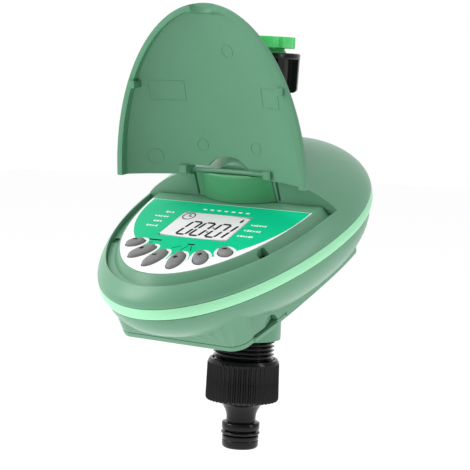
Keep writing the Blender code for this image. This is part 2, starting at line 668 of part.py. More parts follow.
def make_ball_valve():
    rotor = ball("valve_ball", (0, 0, VALVE_LEVEL), (BALL_RADIUS,) * 3, PIPE, STEEL, segments=20)
    cut(rotor, cylinder("ball_bore", (0, 0, VALVE_LEVEL - 12), (0, 0, VALVE_LEVEL + 12), 4.6, PIPE, segments=24))
    cut(rotor, box("ball_slot", (-4, 6.1, VALVE_LEVEL - 1.3), (4, 10, VALVE_LEVEL + 1.3), PIPE))
    set_origin(rotor, (0, 0, VALVE_LEVEL))
    smooth(rotor)
    stem = cylinder("valve_stem", (0, 8.9, VALVE_LEVEL), (0, 25.9, VALVE_LEVEL), 2.3, PIPE, BRASS, segments=24)
    join(stem, box("stem_blade", (-2.1, 6.5, VALVE_LEVEL - 0.9), (2.1, 9.4, VALVE_LEVEL + 0.9), PIPE))
    set_origin(stem, (0, 0, VALVE_LEVEL))
    smooth(stem)
    for name, side in (("ball_seat_upper", 1), ("ball_seat_lower", -1)):
        near, far = sorted((VALVE_LEVEL + side * 6.95, VALVE_LEVEL + side * 9.2))
        profile = ((8.5, far), (8.5, near), (5.5, near), (5.5, far))
        smooth(turned(name, profile, PIPE, WHITE, 20))
    ring_frame = PIPE @ Matrix.Translation((0, 12.4 * MM, VALVE_LEVEL * MM)) @ Matrix.Rotation(math.pi / 2, 4, "X")
    o_ring("stem_o_ring", 3.25, 0.6, ring_frame)


def o_ring(name, middle, thickness, frame, level=0.0, steps=20):
    profile = []
    for step in range(6):
        angle = math.radians(60.0 * step)
        profile.append((middle + thickness * math.sin(angle), level + thickness * math.cos(angle)))
    smooth(turned(name, profile, frame, BLACK, steps), 80.0)


def make_inlet():
    nut = turned("swivel_nut", ((18.6, 65.2), (18.6, 62.8), (17.0, 62.8), (17.0, 48.0), (10.9, 48.0),
                                (10.9, 50.4), (14.6, 50.4), (14.6, 62.0), (13.4, 62.0), (13.4, 65.2)), PIPE, BLACK)
    wings = 8
    for index in range(wings):
        turn = Matrix.Rotation(2 * math.pi * (index + 0.5) / wings, 4, "Z")
        join(nut, box(f"nut_wing_{index}", (16.0, -3.0, 48.6), (18.5, 3.0, 63.5), PIPE @ turn))
    smooth(nut)
    adapter = turned("inlet_adapter", ((15.2, 72.0), (15.2, 67.2), (11.9, 67.2), (13.1, 65.0), (13.1, 61.6),
                                       (7.6, 61.6), (7.6, 63.0), (SOCKET_RADIUS, 63.0), (SOCKET_RADIUS, 72.0)), PIPE, SPRING_GREEN)
    lobes = 8
    for index in range(lobes):
        turn = Matrix.Rotation(2 * math.pi * index / lobes, 4, "Z")
        join(adapter, box(f"adapter_lobe_{index}", (14.0, -3.0, 67.2), (16.2, 3.0, 72.0), PIPE @ turn))
    smooth(adapter)
    smooth(turned("inlet_washer", ((9.0, 66.2), (9.0, 64.2), (6.8, 64.2), (6.8, 66.2)), PIPE, BLACK, 20))
    screen = ((9.0, 63.9), (9.0, 63.3), (7.1, 63.3), (5.2, 52.0), (0.0, 52.0), (0.0, 52.6), (4.7, 52.6), (6.4, 63.9))
    smooth(turned("filter_screen", screen, PIPE, STEEL, 20))
    smooth(turned("swivel_washer", ((14.0, 57.7), (14.0, 56.2), (10.9, 56.2), (10.9, 57.7)), PIPE, WHITE, 20))


def make_outlet_connector():
    """The ribbed nut and the hose nozzle are one moulding."""
    top, end = CONNECTOR_TOP, NOZZLE_END
    profile = ((14.8, top), (15.6, top - 1.6), (15.9, -83.4), (15.2, -84.6), (9.4, -84.6), (9.4, -86.2), (8.6, -87.4),
               (6.9, -91.0), (6.3, -93.9), (8.2, -94.4), (8.2, -97.6), (6.8, -98.0), (6.8, -99.9), (8.0, -100.2),
               (7.9, -104.8), (7.1, end), (4.8, end), (4.8, -82.9), (12.6, -82.9), (12.6, -82.0),
               (THREAD_RADIUS + 0.4, -81.0), (THREAD_RADIUS + 0.4, top))
    connector = turned("outlet_connector", profile, PIPE, BLACK)
    smooth(connector)
    washer = ((12.3, -80.5), (12.3, -82.6), (7.4, -82.6), (7.4, -80.5))
    smooth(turned("outlet_washer", washer, PIPE, BLACK, 20))
    o_ring("nozzle_o_ring", 7.75, 0.65, PIPE, level=-98.95)


# ---- drive --------------------------------------------------------------------------------
def make_gears():
    output = gear("output_gear", WHEEL_TEETH, MESH_ANGLE, STEM_AT, *FIRST_LAYER, WHITE)
    cut(output, cylinder("output_bore", (0, 10, VALVE_LEVEL), (0, 30, VALVE_LEVEL), 2.6, PIPE, segments=24))
    set_origin(output, (0, 0, VALVE_LEVEL))
    half_tooth = 180.0 / PINION_TEETH
    towards_motor = 180.0 - MESH_ANGLE
    idler = gear("idler_gear", WHEEL_TEETH, towards_motor, IDLER_AT, *SECOND_LAYER, WHITE)
    pinion_phase = 180.0 + MESH_ANGLE + half_tooth
    join(idler, gear("idler_pinion", PINION_TEETH, pinion_phase, IDLER_AT, FIRST_LAYER[0], SECOND_LAYER[0] + 0.5))
    x, z = IDLER_AT
    cut(idler, cylinder("idler_bore", (x, 10, z), (x, 30, z), 1.3, PIPE, segments=16))
    set_origin(idler, (x, 0, z))
    axle = cylinder("idler_axle", (x, FRONT_PLATE[0], z), (x, REAR_PLATE[1], z), 1.0, PIPE, STEEL, segments=16)
    smooth(axle)
    x, z = MOTOR_AT
    pinion = gear("motor_pinion", PINION_TEETH, -MESH_ANGLE + half_tooth, MOTOR_AT, *SECOND_LAYER, BRASS)
    cut(pinion, cylinder("pinion_bore", (x, 10, z), (x, 30, z), 1.2, PIPE, segments=16))
    shaft = cylinder("motor_shaft", (x, 20.5, z), (x, 30.0, z), 0.9, PIPE, STEEL, segments=16)
    for piece in (pinion, shaft):
        set_origin(piece, (x, 0, z))


def make_gear_plates():
    pillars = ((-11.5, 9.5), (20.0, 12.8), (22.0, -13.2), (-15.0, -9.0))
    low, high = (-17.5, -15.6), (25.0, 15.6)
    rear = box("gear_plate_rear", (low[0], REAR_PLATE[0], low[1]), (high[0], REAR_PLATE[1], high[1]), PIPE, GREY)
    front = box("gear_plate_front", (low[0], FRONT_PLATE[0], low[1]), (high[0], FRONT_PLATE[1], high[1]), PIPE, GREY)
    for index, (x, z) in enumerate(pillars):
        near = FRONT_PLATE[1] + GAP
        join(rear, cylinder(f"pillar_{index}", (x, near, z), (x, REAR_PLATE[1], z), 2.0, PIPE, segments=8))
    for plate, name in ((rear, "rear"), (front, "front")):
        for index, (centre, radius) in enumerate(((STEM_AT, 2.6), (IDLER_AT, 1.3), (MOTOR_AT, 4.0))):
            x, z = centre
            cut(plate, cylinder(f"{name}_hole_{index}", (x, 10, z), (x, 30, z), radius, PIPE, segments=12))


def make_gear_motor():
    x, z = MOTOR_AT
    turn = Matrix.Translation((x * MM, 0, z * MM)) @ Matrix.Rotation(math.radians(90), 4, "X")
    profile = ((3.2, -24.9), (3.2, -26.7), (9.4, -26.7), (10.0, -27.3), (10.0, -43.2), (9.4, -43.8), (0.0, -43.8),
               (0.0, -30.5), (1.2, -30.5), (1.2, -24.9))
    smooth(turned("gear_motor", profile, PIPE @ turn, STEEL, 24))


clear_scene()
PARTS = new_collection("irrigation_timer")
HELPERS = new_collection("cutters")
make_upper_shell()
make_trim_band()
make_lower_shell()
make_case_screws()
make_battery_door()
make_batteries()
make_hinge_block()
make_control_panel()
make_panel_label()
make_buttons()
make_button_pad()
make_display()
make_circuit_board()
make_lid()
make_valve_body()
make_outlet_tube()
make_ball_valve()
make_inlet()
make_outlet_connector()
make_gears()
make_gear_plates()
make_gear_motor()
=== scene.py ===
"""The looks of the hose-tap irrigation timer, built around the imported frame.

Lengths are in millimetres in the two frames of the part, EGG (tilted case) and PIPE (upright),
and are turned into metres when a mesh is made.
"""
import json
import math

import bmesh
import bpy
from mathutils import Matrix, Vector


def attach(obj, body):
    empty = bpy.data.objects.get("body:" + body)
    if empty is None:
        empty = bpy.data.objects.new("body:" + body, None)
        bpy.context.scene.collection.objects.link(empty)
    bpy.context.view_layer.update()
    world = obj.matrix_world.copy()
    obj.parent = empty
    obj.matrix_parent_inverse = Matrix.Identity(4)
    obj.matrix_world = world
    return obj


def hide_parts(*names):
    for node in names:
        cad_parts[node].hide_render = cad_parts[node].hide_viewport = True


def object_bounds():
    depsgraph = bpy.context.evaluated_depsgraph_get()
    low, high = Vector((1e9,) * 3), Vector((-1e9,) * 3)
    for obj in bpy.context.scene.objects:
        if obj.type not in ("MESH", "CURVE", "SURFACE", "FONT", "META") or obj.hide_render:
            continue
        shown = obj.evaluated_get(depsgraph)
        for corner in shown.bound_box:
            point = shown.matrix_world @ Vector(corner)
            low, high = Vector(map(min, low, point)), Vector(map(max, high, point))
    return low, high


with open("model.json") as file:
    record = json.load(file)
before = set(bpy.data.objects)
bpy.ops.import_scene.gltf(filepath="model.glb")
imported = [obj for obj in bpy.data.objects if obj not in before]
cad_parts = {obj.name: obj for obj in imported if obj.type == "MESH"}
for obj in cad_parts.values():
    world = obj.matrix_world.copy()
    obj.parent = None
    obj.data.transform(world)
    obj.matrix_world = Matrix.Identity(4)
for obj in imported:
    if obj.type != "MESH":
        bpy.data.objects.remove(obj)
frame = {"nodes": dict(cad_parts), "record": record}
CAD_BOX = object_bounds()

MM = 0.001
GAP = 0.3

# ---- sizes shared with the frame ----------------------------------------------------------
PIPE_CENTRE_DROP = 72.0
CASE_TILT = 24.0
EGG_HALF_WIDTH, EGG_FRONT, EGG_REAR, EGG_CENTRE = 52.0, 81.4, 64.0, -6.0
DOME_HEIGHT, DOME_POWER, DOME_REAR_SHIFT = 23.25, 1.75, 8.0
BAND_TOP, BAND_BOTTOM, BAND_INSET = -2.85, -8.6, 1.7
BOWL_DEPTH, WALL, LID_WALL, BACK_WALL, RIM_LEVEL = 27.5, 2.2, 1.25, -6.5, 4.65
RECESS_CENTRE, RECESS_HALF_WIDTH, RECESS_LENGTH = -7.0, 47.4, 74.2
LEDGE_LEVEL, LEDGE_UNDERSIDE, GROOVE_LEVEL, PANEL_LEVEL = 1.5, -0.9, 2.6, 6.2
LABEL_TOP, LABEL_REAR = 6.6, -14.0
BOX_BOTTOM, BOX_DRAFT, BOX_CORNER = -30.5, 0.12, 7.0
BOX_SIDE = ((31.4, -60.3), (33.6, -44.0), (35.4, -20.0), (36.2, 4.0), (35.6, 19.0))
DOOR_THICK, DOOR_REAR, DOOR_END_GAP, DOOR_HINGE = 2.0, -37.4, 0.7, (-35.2, -29.0)
HINGE, PIN_RADIUS, HINGE_HALF = (-8.9, 19.9), 1.2, 22.3
LID_OPEN, LID_RIM_LEVEL = 106.7, 2.9
NOTCH_HALF, NOTCH_DEPTH, ARCH_RADIUS, ARCH_SHIFT = 19.3, 2.2, 14.0, 7.4
KNUCKLE_END, KNUCKLE_RADIUS = 23.2, 2.3
LATCH_NEAR, LATCH_FAR, LATCH_FRONT, LATCH_REAR = 35.2, 38.4, -47.7, -44.7
MARK_WIDTH = 0.3
MARK_RINGS = ((-33.5, -14.5, 3.4), (-12.0, -20.0, 2.7), (15.0, -20.0, 2.7), (6.0, -60.5, 2.9))
MARK_FRAMES = ((-33.0, -17.5, -47.5, -38.8), (21.0, 31.0, -46.0, -37.5))
LCD_HALF, LCD_REAR, LCD_FRONT = 16.8, -23.1, -43.9
KEY_TOP, KEY_MARK_ROOT, BUTTON_FOCUS = 8.3, 8.0, -35.0
BUTTONS = (                      # x, y, half length, half width
    (-22.4, -52.8, 4.1, 2.8),
    (-14.5, -59.2, 6.3, 3.1),
    (-5.2, -63.3, 6.9, 3.1),
    (5.2, -63.3, 6.7, 3.1),
    (14.5, -59.2, 5.6, 3.1),
    (22.4, -52.8, 4.1, 2.8),
)
THREAD_RADIUS, THREAD_PITCH, SOCKET_RADIUS = 13.2, 1.81, 9.4
VALVE_RADIUS, COLLAR_RADIUS, COLLAR_BOTTOM = 11.2, 15.6, -57.5
SCREW_PLACES = ((-29.5, 0.0), (29.5, 0.0), (-30.0, 30.0), (30.0, 30.0))

OUTLINE_STEPS = 160
DOME_RINGS = 26

EGG = Matrix.Translation((0, 0, -PIPE_CENTRE_DROP * MM)) @ Matrix.Rotation(math.radians(CASE_TILT), 4, "X")
PIPE = Matrix.Translation((0, 0, -PIPE_CENTRE_DROP * MM))
HINGE_PLACE = Matrix.Translation((0, HINGE[0] * MM, HINGE[1] * MM))
OPEN = EGG @ HINGE_PLACE @ Matrix.Rotation(math.radians(-LID_OPEN), 4, "X") @ HINGE_PLACE.inverted()


# ---- materials ----------------------------------------------------------------------------
def moulded(name, colour, roughness, drift=0.06, grain=0.03, grain_size=0.0006, coat=0.0, metallic=0.0,
            gloss=0.5):
    """Moulded plastic: a slow drift of shade, a fine tool-mark grain and a roughness that varies."""
    material = bpy.data.materials.new(name)
    material.use_nodes = True
    nodes, links = material.node_tree.nodes, material.node_tree.links
    shader = nodes["Principled BSDF"]
    shader.inputs["Metallic"].default_value = metallic
    shader.inputs["Specular IOR Level"].default_value = gloss
    shader.inputs["Coat Weight"].default_value = coat
    shader.inputs["Coat Roughness"].default_value = 0.12
    place = nodes.new("ShaderNodeTexCoord")

    def noise(size, detail):
        texture = nodes.new("ShaderNodeTexNoise")
        texture.inputs["Scale"].default_value = 1 / size
        texture.inputs["Detail"].default_value = detail
        links.new(place.outputs["Object"], texture.inputs["Vector"])
        return texture.outputs["Fac"]

    shade = nodes.new("ShaderNodeMix")
    shade.data_type = "RGBA"
    links.new(noise(0.03, 3.0), shade.inputs[0])
    shade.inputs[6].default_value = (*(part * (1 - drift) for part in colour), 1)
    shade.inputs[7].default_value = (*(min(1.0, part * (1 + drift)) for part in colour), 1)
    links.new(shade.outputs[2], shader.inputs["Base Color"])
    spread = nodes.new("ShaderNodeMapRange")
    spread.inputs["To Min"].default_value = roughness - 0.06
    spread.inputs["To Max"].default_value = roughness + 0.06
    links.new(noise(0.004, 4.0), spread.inputs["Value"])
    links.new(spread.outputs["Result"], shader.inputs["Roughness"])
    bump = nodes.new("ShaderNodeBump")
    bump.inputs["Strength"].default_value = grain
    bump.inputs["Distance"].default_value = 0.0002
    links.new(noise(grain_size, 2.0), bump.inputs["Height"])
    links.new(bump.outputs["Normal"], shader.inputs["Normal"])
    return material


CASE = moulded("case_plastic", (0.118, 0.300, 0.184), 0.34, grain=0.08)
LID = moulded("lid_plastic", (0.090, 0.262, 0.150), 0.40, grain=0.08, gloss=0.4)
# The case green made deeper and more saturated for the hinge block: painted shade and painted green bounce
# light from the walls round it.
BLOCK_BOUNCE_SHADE = moulded("block_painted_bounce_shade", (0.085, 0.34, 0.155), 0.36, grain=0.06)
MINT = moulded("band_plastic", (0.33, 0.77, 0.46), 0.40, grain=0.05)
WHITE = moulded("label_white", (0.90, 0.90, 0.90), 0.38, drift=0.01, grain=0.02)
EMERALD = moulded("label_print", (0.0, 0.53, 0.255), 0.42, drift=0.03, grain=0.02, gloss=0.12)
INK = moulded("black_print", (0.006, 0.007, 0.007), 0.5, drift=0.02, grain=0.02, gloss=0.1)
DISPLAY = moulded("display_face", (0.84, 0.80, 0.83), 0.25, drift=0.015, grain=0.0, gloss=0.3)
RUBBER = moulded("key_rubber", (0.200, 0.197, 0.200), 0.50, drift=0.12, grain=0.5, grain_size=0.0005)
BLACK = moulded("black_plastic", (0.006, 0.006, 0.0065), 0.20, grain=0.06, gloss=0.2)
SEAL = moulded("black_rubber", (0.006, 0.006, 0.006), 0.22, grain=0.05, gloss=0.3)
SPRING_GREEN = moulded("adapter_plastic", (0.05, 0.62, 0.14), 0.36, grain=0.05, coat=0.2)
ACETAL = moulded("white_acetal", (0.78, 0.78, 0.75), 0.40)
GREY = moulded("grey_plastic", (0.28, 0.28, 0.28), 0.55)
BOARD = moulded("board_mask", (0.02, 0.18, 0.07), 0.42, drift=0.12)
STEEL = moulded("plated_steel", (0.60, 0.60, 0.61), 0.28, drift=0.04, metallic=1.0)
BRASS = moulded("turned_brass", (0.72, 0.52, 0.22), 0.28, drift=0.05, metallic=1.0)
JACKET = moulded("cell_jacket", (0.30, 0.20, 0.06), 0.30, drift=0.08)

FOR_SLOT = {"case_green": CASE, "lid_green": LID, "block_green": BLOCK_BOUNCE_SHADE, "band_mint": MINT,
            "label_print": EMERALD, "clear_lens": DISPLAY, "display": DISPLAY, "button_grey": RUBBER,
            "board": BOARD, "black_plastic": BLACK, "bright_green": SPRING_GREEN, "rubber_black": SEAL,
            "white_plastic": ACETAL, "grey_plastic": GREY, "steel": STEEL, "brass": BRASS,
            "cell_jacket": JACKET}


# ---- solids -------------------------------------------------------------------------------
def solid(name, bm, place=EGG):
    """A mesh object with its vertices in the row frame."""
    bmesh.ops.recalc_face_normals(bm, faces=bm.faces)
    bmesh.ops.scale(bm, vec=(MM, MM, MM), verts=bm.verts)
    bmesh.ops.transform(bm, matrix=place, verts=bm.verts)
    mesh = bpy.data.meshes.new(name)
    bm.to_mesh(mesh)
    bm.free()
    thing = bpy.data.objects.new(name, mesh)
    bpy.context.scene.collection.objects.link(thing)
    return thing


def boolean(thing, operation, *helpers):
    """Apply Booleans at once and remove their helpers."""
    for helper in helpers:
        modifier = thing.modifiers.new("boolean", "BOOLEAN")
        modifier.operation = operation
        modifier.solver = "EXACT"
        modifier.object = helper
        bake(thing)
        bpy.data.objects.remove(helper, do_unlink=True)


def cut(thing, *helpers):
    boolean(thing, "DIFFERENCE", *helpers)


def join(thing, *helpers):
    boolean(thing, "UNION", *helpers)


def keep_inside(thing, *helpers):
    boolean(thing, "INTERSECT", *helpers)


def bake(thing):
    bpy.context.view_layer.update()
    mesh = bpy.data.meshes.new_from_object(thing.evaluated_get(bpy.context.evaluated_depsgraph_get()))
    thing.modifiers.clear()
    thing.data = mesh


def piece(thing, material, body="root", nodes=(), soft_edge=0.0, sharp=38.0):
    """Round the edges, shade, paint and hang the piece on its body in place of its CAD nodes."""
    if soft_edge:
        modifier = thing.modifiers.new("soft_edge", "BEVEL")
        modifier.width = soft_edge * MM
        modifier.segments = 3
        modifier.limit_method = "ANGLE"
        modifier.angle_limit = math.radians(32)
        bake(thing)
    thing.data.shade_smooth()
    thing.data.set_sharp_from_angle(angle=math.radians(sharp))
    thing.data.materials.clear()
    thing.data.materials.append(material)
    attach(thing, body)
    if nodes:
        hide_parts(*nodes)
    return thing


def loft(name, rings, place=EGG, closed=False):
    """Rings of equal point count joined in order, with end caps unless the last ring meets the first."""
    bm = bmesh.new()
    rows = [[bm.verts.new(point) for point in ring] for ring in rings]
    pairs = list(zip(rows, rows[1:]))
    if closed:
        pairs.append((rows[-1], rows[0]))
    else:
        bm.faces.new(rows[0])
        bm.faces.new(rows[-1])
    for low, high in pairs:
        for index in range(len(low)):
            after = (index + 1) % len(low)
            bm.faces.new((low[index], low[after], high[after], high[index]))
    return solid(name, bm, place)


def prism(name, outline, bottom, top, place=EGG):
    return loft(name, [[(x, y, level) for x, y in outline] for level in (bottom, top)], place)


def box(name, low, high, place=EGG):
    bm = bmesh.new()
    bmesh.ops.create_cube(bm, size=1.0)
    bmesh.ops.scale(bm, vec=Vector(high) - Vector(low), verts=bm.verts)
    bmesh.ops.translate(bm, vec=(Vector(high) + Vector(low)) / 2, verts=bm.verts)
    return solid(name, bm, place)


def cylinder(name, start, end, radius, place=EGG, segments=96):
    bm = bmesh.new()
    axis = Vector(end) - Vector(start)
    bmesh.ops.create_cone(bm, cap_ends=True, segments=segments, radius1=radius, radius2=radius,
                          depth=axis.length)
    turn = axis.to_track_quat("Z", "Y").to_matrix().to_4x4()
    middle = Matrix.Translation((Vector(start) + Vector(end)) / 2)
    bmesh.ops.transform(bm, matrix=middle @ turn, verts=bm.verts)
    return solid(name, bm, place)


def ball(name, centre, radii, place=EGG):
    bm = bmesh.new()
    bmesh.ops.create_uvsphere(bm, u_segments=48, v_segments=32, radius=1.0)
    bmesh.ops.scale(bm, vec=radii, verts=bm.verts)
    bmesh.ops.translate(bm, vec=centre, verts=bm.verts)
    return solid(name, bm, place)


def turned(name, profile, place=PIPE, segments=128, reach=None):
    """Rings round Z from a closed profile.  reach(radius, height, angle) may shape each point."""
    rings = []
    for radius, height in profile:
        ring = []
        for step in range(segments):
            angle = 2 * math.pi * step / segments
            far = reach(radius, height, angle) if reach else radius
            ring.append((far * math.cos(angle), far * math.sin(angle), height))
        rings.append(ring)
    return loft(name, rings, place, closed=True)


# ---- outlines -----------------------------------------------------------------------------
def egg_ring(level, inset=0.0, scale=1.0, shift=0.0):
    ring = []
    for step in range(OUTLINE_STEPS):
        angle = 2 * math.pi * step / OUTLINE_STEPS
        reach = EGG_REAR if math.cos(angle) > 0 else EGG_FRONT
        x = (EGG_HALF_WIDTH - inset) * scale * math.sin(angle)
        y = EGG_CENTRE + shift + (reach - inset) * scale * math.cos(angle)
        ring.append((x, y, level))
    return ring


def dome_rings(inset, base):
    rings = [egg_ring(base, inset)]
    for step in range(DOME_RINGS + 1):
        angle = math.radians(88.5) * step / DOME_RINGS
        rise = math.sin(angle) ** (2 / DOME_POWER)
        level = BAND_TOP + (DOME_HEIGHT - inset) * rise
        if level > base + 0.01:
            rings.append(egg_ring(level, inset, math.cos(angle), DOME_REAR_SHIFT * rise ** 2))
    return rings


def bowl_rings(inset, top):
    rings = [egg_ring(top, inset + BAND_INSET)]
    for step in range(DOME_RINGS):
        angle = math.radians(87.0) * step / (DOME_RINGS - 1)
        level = BAND_BOTTOM - (BOWL_DEPTH - inset) * math.sin(angle)
        if level < top - 0.01:
            rings.append(egg_ring(level, inset + BAND_INSET, math.cos(angle)))
    return rings


def half_oval(inset, rear, steps=121):
    """The outline shared by the recess, the panel and the lid: an oval cut off straight at the rear."""
    half_width = RECESS_HALF_WIDTH - inset
    length = RECESS_LENGTH - inset
    start = math.asin((RECESS_CENTRE - rear) / length)
    points = []
    for step in range(steps + 1):
        angle = start + (math.pi - 2 * start) * step / steps
        points.append((half_width * math.cos(angle), RECESS_CENTRE - length * math.sin(angle)))
    return points


def oval_loft(name, levels):
    """A solid of half ovals from (inset, rear edge, level) entries, bottom to top."""
    return loft(name, [[(x, y, level) for x, y in half_oval(inset, rear)] for inset, rear, level in levels])


def side_curve(count=24):
    """The box's side as a smooth curve through its few given points."""
    points = []
    for step in range(count + 1):
        y = BOX_SIDE[0][1] + (BOX_SIDE[-1][1] - BOX_SIDE[0][1]) * step / count
        total = 0.0
        for index, (x_here, y_here) in enumerate(BOX_SIDE):
            weight = 1.0
            for other, (_, y_other) in enumerate(BOX_SIDE):
                if other != index:
                    weight *= (y - y_other) / (y_here - y_other)
            total += x_here * weight
        points.append((total, y))
    return points


def box_outline(outset):
    side = side_curve()
    half = []
    for step in range(17):
        angle = math.radians(90.0 * step / 16)
        x = side[0][0] - BOX_CORNER + (BOX_CORNER + outset) * math.sin(angle)
        half.append((x, side[0][1] - (BOX_CORNER + outset) * math.cos(angle)))
    half += [(x + outset, y) for x, y in side[1:-1]]
    for step in range(17):
        angle = math.radians(90.0 * step / 16)
        x = side[-1][0] - BOX_CORNER + (BOX_CORNER + outset) * math.cos(angle)
        half.append((x, side[-1][1] + (BOX_CORNER + outset) * math.sin(angle)))
    return half + [(-x, y) for x, y in reversed(half)]


def box_rings(inset, bottom, top):
    rings = []
    for level in (bottom, top):
        outset = (level - BOX_BOTTOM) * BOX_DRAFT - inset
        rings.append([(x, y, level) for x, y in box_outline(outset)])
    return rings


def button_place(x, y):
    heading = math.atan2(BUTTON_FOCUS - y, -x)
    return Matrix.Translation((x * MM, y * MM, 0)) @ Matrix.Rotation(heading, 4, "Z")


def button_ring(entry, grow, level, segments=48):
    ring = []
    for step in range(segments):
        angle = 2 * math.pi * step / segments
        ring.append(((entry[2] + grow) * math.cos(angle), (entry[3] + grow) * math.sin(angle), level))
    return ring


def button_prism(name, entry, grow, bottom, top):
    rings = [button_ring(entry, grow, level) for level in (bottom, top)]
    return loft(name, rings, EGG @ button_place(entry[0], entry[1]))


# ---- case ---------------------------------------------------------------------------------
def pipe_boss():
    """The rounded rise of the case round the inlet pipe, which leans back through the dome."""
    tilt = math.radians(CASE_TILT)
    rings = []
    profile = ((17.5, 12.0), (16.6, 17.0), (15.4, 20.0), (14.9, 22.0), (14.4, 23.6), (13.6, 24.7),
               (12.4, 25.2))
    for radius, level in profile:
        ring = []
        for step in range(96):
            angle = 2 * math.pi * step / 96
            y = level * math.tan(tilt) + radius / math.cos(tilt) * math.cos(angle)
            ring.append((radius * math.sin(angle), y, level))
        rings.append(ring)
    return loft("pipe_boss", rings)


def make_upper_shell():
    shell = loft("upper_case", dome_rings(0.0, BAND_TOP + GAP / 2))
    join(shell, pipe_boss())
    cut(shell, box("front_clear", (-60, -100, RIM_LEVEL), (60, BACK_WALL, 30)))
    cavity = loft("dome_cavity", dome_rings(WALL, BAND_TOP - 2))
    cut(cavity, box("cavity_front", (-60, -100, LEDGE_UNDERSIDE), (60, BACK_WALL + WALL, 30)))
    cut(shell, cavity)
    cut(shell, prism("panel_pocket", half_oval(0.0, BACK_WALL - 0.01), LEDGE_LEVEL, 20))
    cut(shell, prism("panel_opening", half_oval(4.2, -10.0), -8, 6))
    cut(shell, cylinder("pipe_hole", (0, 0, -20), (0, 0, 40), VALVE_RADIUS + 0.4, PIPE))
    for side in (-1, 1):
        near, far = sorted((side * 20.0, side * 21.2))
        cut(shell, box("wall_groove", (near, -8.0, PANEL_LEVEL + 0.4), (far, -5.3, 17.6)))
    piece(shell, CASE, nodes=("upper_shell",), soft_edge=0.35)


def make_trim_band():
    profile = [(0.1, BAND_TOP - GAP / 2)]
    for step in range(9):
        part = step / 8
        profile.append((-0.4 * math.sin(math.pi * part) + 0.1 + 0.35 * part, -3.4 - 4.4 * part))
    profile += [(1.6, BAND_BOTTOM + GAP / 2), (3.6, BAND_BOTTOM + GAP / 2), (3.6, BAND_TOP - GAP / 2)]
    rings = [egg_ring(level, inset) for inset, level in profile]
    piece(loft("mint_band", rings, closed=True), MINT, nodes=("trim_band",), sharp=50)


def make_lower_shell():
    shell = loft("lower_case", bowl_rings(0.0, BAND_BOTTOM - GAP / 2))
    join(shell, loft("box_outside", box_rings(0.0, BOX_BOTTOM, -13.0)))
    cut(shell, box("below_case", (-80, -120, -60), (80, 90, BOX_BOTTOM)))
    join(shell, cylinder("collar", (0, 0, COLLAR_BOTTOM), (0, 0, -26), COLLAR_RADIUS, PIPE))
    cavity = loft("bowl_cavity", bowl_rings(WALL, BAND_BOTTOM + 3))
    join(cavity, loft("box_inside", box_rings(WALL, BOX_BOTTOM - 2, -11.0)))
    cut(cavity, box("cavity_floor", (-80, -120, -60), (80, 90, BOX_BOTTOM + WALL)))
    cut(shell, cavity)
    join(shell, box("battery_partition", (-34, -32.4, BOX_BOTTOM + 1), (34, -30.4, -12.5)))
    door_space_end = (50, DOOR_REAR + DOOR_END_GAP, BOX_BOTTOM + DOOR_THICK + GAP)
    cut(shell, box("door_space", (-50, -90, -40), door_space_end))
    for side in (-1, 1):
        near, far = sorted((side * 30.0, side * 40.0))
        cut(shell, box("grip_slot", (near, -58.5, -28.6), (far, -43.5, -27.4)))
        floor, mouth = (side * 32.5, -47.7, -28.2), (side * 40.4, -46.3, -28.2)
        cut(shell, cylinder("grip_scoop", floor, mouth, 4.3))
        near, far = sorted((side * 17.7, side * 22.4))
        join(shell, box("door_lug", (near, -37.0, -30.3), (far, -31.5, -26.6)))
    cut(shell, box("barrel_space", (-17.4, -38, -32), (17.4, -33.0, -26.8)))
    cut(shell, cylinder("door_pin_way", (-23.5, *DOOR_HINGE), (23.5, *DOOR_HINGE), 1.1, segments=32))
    for x, y in SCREW_PLACES:
        cut(shell, cylinder("screw_well", (x, y, -40), (x, y, -12), 2.8, segments=32))
    cut(shell, cylinder("outlet_way", (0, 0, -70), (0, 0, -10), THREAD_RADIUS + 0.4, PIPE))
    piece(shell, CASE, nodes=("lower_shell",), soft_edge=0.3)


def make_battery_door():
    door = loft("door_plate", box_rings(0.0, BOX_BOTTOM, BOX_BOTTOM + DOOR_THICK))
    cut(door, box("door_end", (-60, DOOR_REAR, -40), (60, 60, -20)))
    for side in (-1, 1):
        near, far = sorted((side * 29.0, side * 36.0))
        grip = box("door_grip", (near, -58.3, BOX_BOTTOM + 0.2), (far, -43.7, BOX_BOTTOM + 1.9))
        keep_inside(grip, loft("grip_limit", box_rings(-0.9, BOX_BOTTOM - 1, BOX_BOTTOM + 3)))
        join(door, grip)
        near, far = sorted((side * 17.4, side * 22.7))
        cut(door, box("lug_space", (near, -37.9, -40), (far, -30, -20)))
    join(door, box("door_tongue", (-17.0, -39.0, BOX_BOTTOM + 0.4), (17.0, DOOR_HINGE[0], -28.6)))
    join(door, cylinder("door_barrel", (-17.0, *DOOR_HINGE), (17.0, *DOOR_HINGE), 1.6, segments=48))
    piece(door, CASE, "battery_door", ("battery_door",), soft_edge=0.25)


# ---- control panel ------------------------------------------------------------------------
def make_hinge_block():
    back = BACK_WALL - GAP
    rings = []
    top = HINGE[1] - 0.7
    for grow, level in ((1.03, PANEL_LEVEL + GAP), (1.0, top - 1.9), (1.03, top - 1.5), (1.045, top - 1.0),
                        (1.045, top - 0.5), (1.03, top - 0.15), (1.0, top)):
        half, depth = 18.4 * grow, 4.6 * grow
        radius = (half * half + depth * depth) / (2 * depth)
        reach = math.asin(half / radius)
        ring = []
        for step in range(65):
            angle = -reach + 2 * reach * step / 64
            ring.append((radius * math.sin(angle), back - radius * math.cos(angle) + radius - depth, level))
        rings.append(ring)
    block = loft("pipe_shroud", rings)
    cut(block, cylinder("pin_saddle", (-20, *HINGE), (20, *HINGE), PIN_RADIUS + 0.35))
    cut(block, cylinder("pipe_space", (0, 0, -20), (0, 0, 40), VALVE_RADIUS + 0.4, PIPE))
    # The block's material carries painted shade and painted bounce light, not a colour of its own.
    piece(block, BLOCK_BOUNCE_SHADE, nodes=("hinge_block",), soft_edge=0.3)


